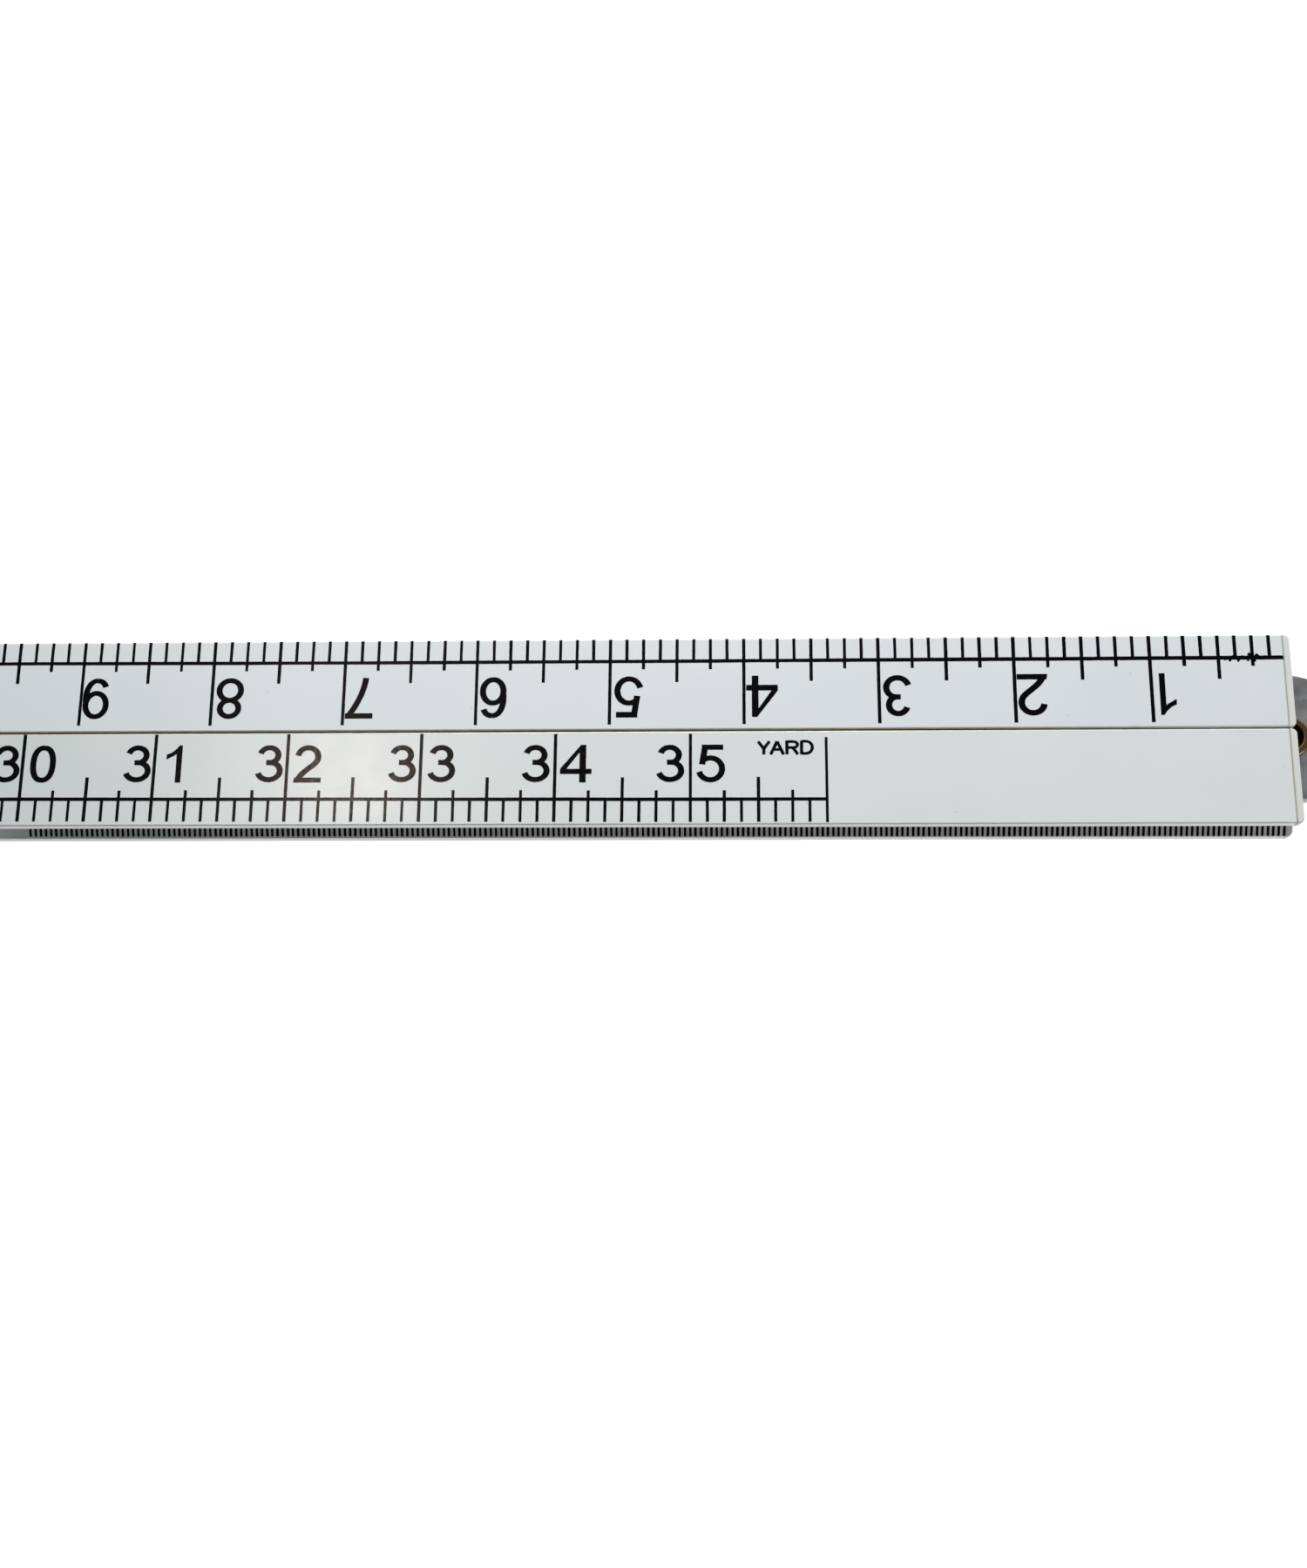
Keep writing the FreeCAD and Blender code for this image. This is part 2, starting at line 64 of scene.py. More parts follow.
def along(stops, place):
    """A value read off a line through (place, value) stops, level beyond its ends."""
    if place <= stops[0][0]:
        return stops[0][1]
    for (start, first), (end, last) in zip(stops, stops[1:]):
        if place <= end:
            return first + (last - first) * (place - start) / (end - start)
    return stops[-1][1]


LEG_LOW, LEG_HIGH = box_mm("leg_1")
TOP_Z = LEG_HIGH.z
UPPER_INNER_Z = LEG_LOW.z
LOWER_INNER_Z = box_mm("leg_2")[1].z
TIP_X = LEG_HIGH.x

# The legs' cross-section, as the CAD has it
BEVEL_WIDE = 6.5
BEVEL_SLOPE = 3.0 / BEVEL_WIDE
EDGE_ROUND = 0.3


# ---------------------------------------------------------------- camera and lamps

# The photo's view, from a fit of a plain camera to the rule's own graduations
LENS_MM = 43.497
SENSOR_MM = 36
CAMERA_PLACE = (0.016253, -0.105352, 0.351018)
CAMERA_TURN_DEGREES = (15.5754, 2.5321, 0.5063)

camera_data = bpy.data.cameras.new("camera")
camera_data.sensor_width = SENSOR_MM
camera_data.lens = LENS_MM
camera = bpy.data.objects.new("camera", camera_data)
camera.location = CAMERA_PLACE
camera.rotation_euler = [math.radians(angle) for angle in CAMERA_TURN_DEGREES]
scene.collection.objects.link(camera)
scene.camera = camera
scene.view_settings.view_transform = "Standard"


def area_light(name, place, target, size, watts, colour=(1, 1, 1)):
    """A round lamp at a place, facing a target."""
    data = bpy.data.lights.new(name, "AREA")
    data.shape = "DISK"
    data.size = size
    data.energy = watts
    data.color = colour
    light = bpy.data.objects.new(name, data)
    light.location = place
    light.rotation_euler = (Vector(target) - Vector(place)).to_track_quat("-Z", "Y").to_euler()
    scene.collection.objects.link(light)


# ---------------------------------------------------------------- shader nodes


class Shader:
    """A node material with short calls for the nodes used here."""

    def __init__(self, name):
        self.material = bpy.data.materials.new(name)
        self.material.use_nodes = True
        self.tree = self.material.node_tree
        self.surface = self.tree.nodes["Principled BSDF"]
        self.place = self.add("ShaderNodeTexCoord").outputs["Object"]

    def add(self, kind, **settings):
        node = self.tree.nodes.new(kind)
        for key, value in settings.items():
            setattr(node, key, value)
        return node

    def put(self, socket, value):
        """Link a socket to a node's output, or set it to a plain value."""
        if isinstance(value, bpy.types.NodeSocket):
            self.tree.links.new(value, socket)
        elif value is not None:
            socket.default_value = value

    def normal(self):
        """The surface's direction in the object's own frame."""
        return self.add("ShaderNodeTexCoord").outputs["Normal"]

    def parts(self, vector):
        """The X, Y and Z of a vector."""
        node = self.add("ShaderNodeSeparateXYZ")
        self.put(node.inputs[0], vector)
        return node.outputs

    def stretch(self, scale, shift=(0, 0, 0), turn=(0, 0, 0)):
        """The place, scaled, shifted and turned, to stretch a pattern."""
        node = self.add("ShaderNodeMapping")
        self.put(node.inputs["Vector"], self.place)
        node.inputs["Scale"].default_value = scale
        node.inputs["Location"].default_value = shift
        node.inputs["Rotation"].default_value = turn
        return node.outputs[0]

    def from_pivot(self):
        """Distance from the round joint's axis, in metres."""
        centre = self.add("ShaderNodeVectorMath", operation="SUBTRACT")
        self.put(centre.inputs[0], self.place)
        centre.inputs[1].default_value = (PIVOT_X * MM, 0, 0)
        axes = self.parts(centre.outputs[0])
        squares = [self.times(axes[key], axes[key]) for key in ("X", "Y")]
        return self.maths("SQRT", self.plus(*squares))

    def noise(self, vector, scale, detail=2.0, rough=0.5, warp=0.0):
        node = self.add("ShaderNodeTexNoise")
        self.put(node.inputs["Vector"], vector)
        node.inputs["Scale"].default_value = scale
        node.inputs["Detail"].default_value = detail
        node.inputs["Roughness"].default_value = rough
        node.inputs["Distortion"].default_value = warp
        return node.outputs[0]

    def cells(self, vector, scale):
        """Scattered cells: the distance from each one's middle, and a colour of its own."""
        node = self.add("ShaderNodeTexVoronoi")
        self.put(node.inputs["Vector"], vector)
        node.inputs["Scale"].default_value = scale
        return node.outputs["Distance"], node.outputs["Color"]

    def span(self, value, low, high, out_low=0.0, out_high=1.0, smooth=False):
        """A value from low to high turned into one from out_low to out_high, level beyond."""
        node = self.add("ShaderNodeMapRange")
        if smooth:
            node.interpolation_type = "SMOOTHSTEP"
        for socket, given in zip(node.inputs, (value, low, high, out_low, out_high)):
            self.put(socket, given)
        return node.outputs[0]

    def maths(self, kind, a, b=None):
        node = self.add("ShaderNodeMath", operation=kind)
        self.put(node.inputs[0], a)
        self.put(node.inputs[1], b)
        return node.outputs[0]

    def times(self, a, b):
        return self.maths("MULTIPLY", a, b)

    def plus(self, a, b):
        return self.maths("ADD", a, b)

    def mix(self, share, a, b, how="MIX"):
        node = self.add("ShaderNodeMix", data_type="RGBA", blend_type=how)
        self.put(node.inputs[0], share)
        self.put(node.inputs[6], a)
        self.put(node.inputs[7], b)
        return node.outputs[2]

    def tint(self, colour, by):
        """A colour multiplied by another."""
        return self.mix(1.0, colour, by, "MULTIPLY")

    def layer(self, colour, mask, amount, other):
        """A second colour laid over the first by this amount where the mask is 1."""
        return self.mix(self.times(mask, amount), colour, other)

    def bump(self, height, strength, depth_mm, after=None):
        node = self.add("ShaderNodeBump")
        node.inputs["Strength"].default_value = strength
        node.inputs["Distance"].default_value = depth_mm * MM
        self.put(node.inputs["Height"], height)
        if after is not None:
            self.put(node.inputs["Normal"], after)
        return node.outputs[0]

    def finish(self, **values):
        """Set the surface's sockets and give the material."""
        names = {
            "colour": "Base Color",
            "rough": "Roughness",
            "metal": "Metallic",
            "normal": "Normal",
            "gloss": "Specular IOR Level",
        }
        for key, value in values.items():
            self.put(self.surface.inputs[names[key]], value)
        return self.material


SIDE_PAINTED_WARM_WHITE = (0.60, 0.605, 0.57, 1)
CLOUD_TINT = (0.975, 0.977, 0.977, 1)
WARM_TINT = (1.0, 0.99, 0.97, 1)
HINGE_END_SHADE_TINT = (0.85, 0.875, 0.875, 1)
SPECK_GREY = (0.22, 0.22, 0.21, 1)
SCRATCH_GREY = (0.45, 0.46, 0.46, 1)
SOIL_AND_SHADE_BROWN = (0.27, 0.23, 0.13, 1)


def plastic(name, face, seed, dull=0.0, soil_and_shade=0.5, hinge_end_shade=0.4):
    """Moulded plastic: broad faces painted cooler than the sides as painted light from above, with faint mottling,
    specks, fine scratches along the leg, brown soiling with painted shade where the tip and the two legs meet, and
    painted shade on the hinge end."""
    skin = Shader(name)
    shift = (seed * 0.37, seed * 0.11, 0)
    place = skin.stretch((1, 1, 1), shift)
    axes = skin.parts(skin.place)

    # Painted light: the upward and downward faces take the cooler face colour and the sides a warmer cream,
    # standing in for cool light from above.
    up = skin.maths("ABSOLUTE", skin.parts(skin.normal())["Z"])
    colour = skin.mix(skin.span(up, 0.55, 0.95, smooth=True), SIDE_PAINTED_WARM_WHITE, face)
    cloud = skin.span(skin.noise(place, 60, 2), 0.25, 0.75, smooth=True)
    colour = skin.mix(cloud, skin.tint(colour, CLOUD_TINT), colour)
    warm = skin.span(skin.noise(place, 22, 2), 0.4, 0.8, smooth=True)
    colour = skin.layer(colour, warm, 0.4, skin.tint(colour, WARM_TINT))

    distance, shade = skin.cells(place, 330)
    chosen = skin.span(skin.parts(shade)["X"], 0.90, 0.91)
    speck = skin.times(skin.span(distance, 0.03, 0.06, 1.0, 0.0), chosen)
    colour = skin.layer(colour, speck, 0.5, SPECK_GREY)
    streak = skin.noise(skin.stretch((30, 2400, 2400), shift, (0, 0, 0.004)), 1.0, 3, 0.6)
    scratch = skin.span(streak, 0.60, 0.78)
    colour = skin.layer(colour, scratch, 0.06, SCRATCH_GREY)

    # Painted shade: the colour darkens towards the hinge end, by the given share.
    hinge_end_shade_mask = skin.span(axes["X"], (HINGE_X + 6) * MM, (HINGE_X + 52) * MM, hinge_end_shade, 0.0)
    colour = skin.mix(hinge_end_shade_mask, colour, skin.tint(colour, HINGE_END_SHADE_TINT))

    # Brown soiling with painted shade: a thin line at the tip's groove, and the flanks beside the seam darkened
    # except near the free end.
    from_tip = skin.maths("ABSOLUTE", skin.maths("SUBTRACT", axes["X"], TIP_X * MM))
    groove = skin.span(from_tip, 0.10 * MM, 0.34 * MM, 1.0, 0.0)
    seam = skin.span(skin.maths("ABSOLUTE", axes["Y"]), 0.15 * MM, 0.50 * MM, 1.0, 0.0)
    seam = skin.times(seam, skin.span(axes["X"], (TIP_X - 60) * MM, (TIP_X - 15) * MM, 1.5, 0.0))
    patchy = skin.span(skin.noise(place, 350, 3), 0.3, 0.7, 0.65, 1.0)
    soil_and_shade_mask = skin.times(skin.maths("MAXIMUM", groove, seam), skin.times(patchy, soil_and_shade))
    colour = skin.mix(soil_and_shade_mask, colour, SOIL_AND_SHADE_BROWN)

    sheen = skin.span(skin.noise(place, 250, 2), 0.2, 0.8, 0.17 + dull, 0.22 + dull)
    rough = skin.plus(sheen, skin.times(scratch, 0.15))
    normal = skin.bump(skin.noise(place, 2600, 2), 0.25, 0.004)
    normal = skin.bump(skin.maths("SUBTRACT", 1.0, scratch), 0.2, 0.01, normal)
    return skin.finish(colour=colour, rough=rough, normal=normal)


INK_BLACK = (0.0012, 0.0012, 0.0015, 1)
INK_THIN = (0.006, 0.006, 0.006, 1)


def printed_ink(name, low, high, gloss):
    """Screen-printed black: near even, a little thin and grainy in places, and as rough as low to high."""
    skin = Shader(name)
    thin = skin.span(skin.noise(skin.place, 1900, 3, 0.7), 0.56, 0.74)
    patch = skin.span(skin.noise(skin.place, 60, 2), 0.35, 0.7)
    colour = skin.layer(INK_BLACK, thin, skin.span(patch, 0, 1, 0.25, 0.9), INK_THIN)
    rough = skin.span(skin.noise(skin.place, 1500, 2), 0.3, 0.7, low, high)
    normal = skin.bump(skin.noise(skin.place, 2200, 3), 0.35, 0.01)
    return skin.finish(colour=colour, rough=rough, normal=normal, gloss=gloss)


STEEL_DULL = (0.36, 0.37, 0.39, 1)
STEEL_PLAIN = (0.50, 0.51, 0.53, 1)
STEEL_BRIGHT = (0.68, 0.68, 0.70, 1)
STEEL_PIT = (0.06, 0.055, 0.05, 1)


def turned_steel():
    """Steel discs: fine rings rubbed about the pivot, dull patches and small dark pits."""
    skin = Shader("joint_steel")
    ring_vector = skin.add("ShaderNodeCombineXYZ")
    skin.put(ring_vector.inputs[0], skin.times(skin.from_pivot(), 5200.0))
    rings = skin.noise(ring_vector.outputs[0], 1.0, 3, 0.6)
    patches = skin.noise(skin.place, 180, 4, 0.6)
    colour = skin.mix(skin.span(patches, 0.3, 0.7), STEEL_DULL, STEEL_PLAIN)
    colour = skin.layer(colour, skin.span(rings, 0.5, 0.8), 0.4, STEEL_BRIGHT)
    distance, shade = skin.cells(skin.place, 900)
    chosen = skin.span(skin.parts(shade)["X"], 0.8, 0.82)
    pit = skin.times(skin.span(distance, 0.1, 0.2, 1, 0), chosen)
    colour = skin.layer(colour, pit, 0.6, STEEL_PIT)
    rough = skin.plus(skin.span(patches, 0.2, 0.8, 0.26, 0.40), skin.times(rings, 0.08))
    normal = skin.bump(rings, 0.35, 0.01)
    return skin.finish(colour=colour, rough=rough, normal=normal, metal=1.0)


LINE_TINT = (1.35, 1.33, 1.3, 1)
METAL_PIT = (0.05, 0.045, 0.04, 1)
BORE_PAINTED_SHADE = (0.035, 0.022, 0.009, 1)


def drawn_metal(name, base, dull, grain_scale, rough, bore_mm=None):
    """Rolled or drawn metal with lines along its length, tarnish patches and pits, and, where it has a bore,
    painted shade darkening it inside that radius."""
    skin = Shader(name)
    lines = skin.noise(skin.stretch(grain_scale), 1.0, 4, 0.65)
    patches = skin.noise(skin.place, 420, 4, 0.6, 0.4)
    colour = skin.mix(skin.span(patches, 0.42, 0.68), base, dull)
    colour = skin.layer(colour, skin.span(lines, 0.5, 0.75), 0.25, skin.tint(colour, LINE_TINT))
    distance, shade = skin.cells(skin.place, 1500)
    chosen = skin.span(skin.parts(shade)["X"], 0.75, 0.78)
    pit = skin.times(skin.span(distance, 0.1, 0.22, 1, 0), chosen)
    colour = skin.layer(colour, pit, 0.5, METAL_PIT)
    roughness = skin.span(patches, 0.3, 0.7, rough - 0.06, rough + 0.1)
    roughness = skin.plus(roughness, skin.times(lines, 0.08))
    if bore_mm:
        # Painted shade: the inside of the bore is darkened to a deep brown.
        bore = skin.span(skin.from_pivot(), bore_mm * MM, (bore_mm + 0.25) * MM, 1.0, 0.0)
        colour = skin.layer(colour, bore, 0.9, BORE_PAINTED_SHADE)
        roughness = skin.plus(roughness, skin.times(bore, 0.25))
    normal = skin.bump(lines, 0.3, 0.008)
    return skin.finish(colour=colour, rough=roughness, normal=normal, metal=1.0)


FIBRE_DARK = (0.07, 0.05, 0.035, 1)
FIBRE_PALE = (0.17, 0.13, 0.10, 1)


def pressed_fibre():
    """Brown pressed fibre with fine flecks."""
    skin = Shader("washer_fibre")
    fleck = skin.noise(skin.place, 2500, 4, 0.7)
    colour = skin.mix(skin.span(fleck, 0.35, 0.7), FIBRE_DARK, FIBRE_PALE)
    rough = skin.span(fleck, 0.3, 0.7, 0.65, 0.85)
    return skin.finish(colour=colour, rough=rough, normal=skin.bump(fleck, 0.4, 0.02))


LEG_WHITE = (0.600, 0.638, 0.648, 1)
# Legs 1 and 4 are the same plastic as the rest; their colours are lit copies of it, painted a little lighter to
# stand in for how the light falls on them.
LEG_1_PAINTED_LIGHT_WHITE = (0.600, 0.643, 0.660, 1)
LEG_4_PAINTED_LIGHT_WHITE = (0.614, 0.652, 0.655, 1)
TIP_WHITE = (0.590, 0.615, 0.600, 1)

# Each drawn metal: its colour, its tarnished colour, the grain's scale along each axis, its roughness, and for the
# eyelet the radius of its bore's painted shade
METALS = {
    "leaf_steel": ((0.60, 0.605, 0.615, 1), (0.43, 0.43, 0.43, 1), (120, 3000, 3000), 0.32),
    "pin_steel": ((0.62, 0.62, 0.63, 1), (0.44, 0.44, 0.44, 1), (2500, 150, 2500), 0.28),
    "eyelet_brass": ((0.29, 0.205, 0.085, 1), (0.115, 0.08, 0.03, 1), (900, 900, 200), 0.26, 2.68),
    "rivet_brass": ((0.55, 0.41, 0.18, 1), (0.33, 0.24, 0.10, 1), (1400, 1400, 1400), 0.30),
}

# By material slot, or by node for the two upper legs, whose colours are painted lighter copies of the same plastic
materials = {
    "white_plastic": plastic("white_plastic", LEG_WHITE, 1),
    "leg_1": plastic("white_plastic_1_painted_light", LEG_1_PAINTED_LIGHT_WHITE, 3, dull=0.12, soil_and_shade=0.35, hinge_end_shade=0.45),
    "leg_4": plastic("white_plastic_4_painted_light", LEG_4_PAINTED_LIGHT_WHITE, 4, dull=0.0, soil_and_shade=0.55, hinge_end_shade=1.0),
    "tip_plastic": plastic("tip_plastic", TIP_WHITE, 2),
    "joint_steel": turned_steel(),
    "washer_fibre": pressed_fibre(),
}
for name, settings in METALS.items():
    materials[name] = drawn_metal(name, *settings)
ink = printed_ink("scale_ink", 0.14, 0.23, 0.25)
dull_ink = printed_ink("scale_ink_dull", 0.19, 0.27, 0.11)

slot_of = {entry["node"]: entry["material_slot"] for entry in frame["record"]["subparts"]}
for name, node in nodes.items():
    for slot in node.material_slots:
        slot.material = materials.get(name, materials[slot_of[name]])


# ---------------------------------------------------------------- numerals, drawn as strokes

ARC_STEPS = 28
CURVE_STEPS = 14


def arc(cx, cy, rx, ry, start, end, power=2.0):
    """Points along an ellipse, or a squarer oval with a power above 2, between two angles in degrees."""
    count = max(4, int(abs(end - start) / 360 * 2 * ARC_STEPS))
    points = []
    for i in range(count + 1):
        angle = math.radians(start + (end - start) * i / count)
        across, up = math.cos(angle), math.sin(angle)
        points.append((
            cx + rx * math.copysign(abs(across) ** (2 / power), across),
            cy + ry * math.copysign(abs(up) ** (2 / power), up),
        ))
    return points


def curve(*corners):
    """Points along a cubic curve with these four control points."""
    points = []
    for i in range(CURVE_STEPS + 1):
        t = i / CURVE_STEPS
        u = 1 - t
        shares = (u**3, 3 * u * u * t, 3 * u * t * t, t**3)
        points.append(tuple(sum(s * corner[k] for s, corner in zip(shares, corners)) for k in (0, 1)))
    return points


# Each glyph: its width as a share of the numeral width, its strokes' centre lines, and solid shapes.
# Both are in a unit square, the strokes' square being half a stroke inside the shapes' square.
GLYPHS = {
    "0": (0.94, [arc(0.5, 0.5, 0.5, 0.5, 90, 450, 2.35)], []),
    "1": (0.57, [], [
        [(0.64, 0), (1, 0), (1, 1), (0.80, 1), (0.64, 0.92)],
        [
            (0.0, 0.615), (0.22, 0.665), (0.50, 0.725), (0.75, 0.80), (0.90, 1),
            (0.80, 1), (0.62, 0.905), (0.32, 0.805), (0.0, 0.75),
        ],
    ]),
    "2": (1.0, [
        arc(0.5, 0.715, 0.47, 0.285, 172, -25)[:-1]
        + curve((0.926, 0.595), (0.80, 0.42), (0.13, 0.24), (0.055, -0.03)),
    ], [[(0, 0), (1, 0), (1, 0.132), (0.03, 0.132)]]),
    "3": (1.0, [
        arc(0.47, 0.765, 0.42, 0.235, 166, -84),
        arc(0.485, 0.28, 0.515, 0.27, 84, -166),
        [(0.34, 0.54), (0.54, 0.54)],
    ], []),
    "4": (1.13, [], [
        [(0, 0.365), (0.0, 0.290), (0.20, 0.360), (0.625, 0.810), (0.66, 1), (0.655, 1)],
        [(0.61, 0), (0.82, 0), (0.82, 1), (0.655, 1), (0.61, 0.94)],
        [(0, 0.225), (1, 0.225), (1, 0.362), (0, 0.362)],
    ]),
    "5": (1.0, [
        arc(0.465, 0.335, 0.535, 0.335, 137, -165),
        [(0.215, 0.99), (0.085, 0.47)],
    ], [[(0.165, 0.862), (0.93, 0.862), (0.93, 1), (0.165, 1)]]),
    "6": (0.97, [
        arc(0.505, 0.325, 0.495, 0.325, 90, 450),
        arc(0.53, 0.5, 0.53, 0.5, 188, 90, 2.2),
        arc(0.53, 0.765, 0.42, 0.235, 90, 14),
    ], []),
    "7": (1.0, [
        curve((0.955, 0.97), (0.62, 0.70), (0.31, 0.34), (0.235, -0.065)),
    ], [[(0, 0.868), (1, 0.868), (1, 1), (0, 1)]]),
    "8": (1.0, [
        arc(0.5, 0.775, 0.43, 0.225, 90, 450),
        arc(0.5, 0.275, 0.5, 0.275, 90, 450),
    ], []),
    "Y": (1.05, [[(0.03, 1), (0.5, 0.40)], [(0.97, 1), (0.5, 0.40)], [(0.5, 0.47), (0.5, -0.08)]], []),
    "A": (1.1, [[(0, -0.08), (0.5, 1)], [(1, -0.08), (0.5, 1)], [(0.16, 0.33), (0.84, 0.33)]], []),
    "R": (1.0, [
        [(0, -0.08), (0, 1.06)], [(0, 0.98), (0.55, 0.98)], [(0, 0.48), (0.55, 0.48)],
        arc(0.55, 0.73, 0.38, 0.25, 90, -90), [(0.52, 0.48), (0.97, -0.08)],
    ], []),
    "D": (0.95, [
        [(0, -0.08), (0, 1.06)], [(0, 1), (0.4, 1)], [(0, 0.0), (0.4, 0.0)], arc(0.4, 0.5, 0.6, 0.5, 90, -90),
    ], []),
}


def turned(points):
    """Points of the unit square turned by half a turn."""
    return [(1 - x, 1 - y) for x, y in points]


GLYPHS["9"] = (0.97, [turned(line) for line in GLYPHS["6"][1]], [])


def ribbon(points, pen):
    """Quads that follow a centre line, as thick as an upright oval pen makes them."""
    closed = math.dist(points[0], points[-1]) < 3e-5
    last = len(points) - 1
    sides = []
    for i, (x, y) in enumerate(points):
        before = points[i - 1] if i > 0 else (points[-2] if closed else points[0])
        after = points[i + 1] if i < last else (points[1] if closed else points[-1])
        dx, dy = after[0] - before[0], after[1] - before[1]
        length = math.hypot(dx, dy)
        nx, ny = -dy / length, dx / length
        half = math.hypot(pen[0] * nx, pen[1] * ny) / 2
        sides.append(((x + nx * half, y + ny * half), (x - nx * half, y - ny * half)))
    return [[sides[i][1], sides[i + 1][1], sides[i + 1][0], sides[i][0]] for i in range(last)]


def area_of(points):
    """Area inside a ring of points, below zero if they run clockwise."""
    pairs = [(points[i - 1], points[i]) for i in range(len(points))]
    return sum(before[0] * after[1] - after[0] * before[1] for before, after in pairs) / 2


MERGE_MM = 1e-5


def joined(shapes):
    """One clean set of triangles covering shapes that may overlap."""
    points, faces = [], []
    for shape in shapes:
        if area_of(shape) < 0:
            shape = shape[::-1]
        faces.append(list(range(len(points), len(points) + len(shape))))
        points.extend(Vector(p) for p in shape)
    corners, _, triangles, _, _, sources = delaunay_2d_cdt(points, [], faces, 0, MERGE_MM)
    kept = [tuple(face) for face, source in zip(triangles, sources) if source]
    return [tuple(corner) for corner in corners], kept


# How much nearer the second letter of a pair stands, as a share of the letter width
KERN = {"YA": 0.17}

# The pen's height as a share of its width
PEN_FLATNESS = 0.86
made_glyphs = {}


def glyph(letter, height, width, stroke):
    """Triangles of one numeral or letter with its corner at 0, 0, and its width in mm."""
    key = (letter, height, width, stroke)
    if key not in made_glyphs:
        share, lines, shapes = GLYPHS[letter]
        wide = width * share
        thin = stroke * PEN_FLATNESS
        strokes = []
        for line in lines:
            placed = [(stroke / 2 + x * (wide - stroke), thin / 2 + y * (height - thin)) for x, y in line]
            strokes += ribbon(placed, (stroke, thin))
        strokes += [[(x * wide, y * height) for x, y in shape] for shape in shapes]
        made_glyphs[key] = (*joined(strokes), wide)
    return made_glyphs[key]


# ---------------------------------------------------------------- printing on the legs' faces

# The ink stands this far above the face and is let in this far below it, in mm
INK_TOP = 0.018
INK_FOOT = 0.010

# How uneven the printed lines are, in mm or as a share
LINE_LEAN = 0.04
LINE_START = 0.05
LINE_WIDTH = 0.07
BASELINE_WIDTH = 0.08

# A line's breaks where it runs over the rounded edge, in mm back from the edge
ROUND_BREAKS = (EDGE_ROUND, 0.2, 0.12)

# The baseline bends at steps of this length, in mm
BASELINE_STEP = 12.7

# A face is tested for by a ray that starts this far off it, in mm, and has to hit it this nearly
RAY_START = 2.0
FACE_TOLERANCE = 0.04
LINE_END_INSET = 0.05

BLOT_CORNERS = 9
BLOT_RAGGED = 0.35


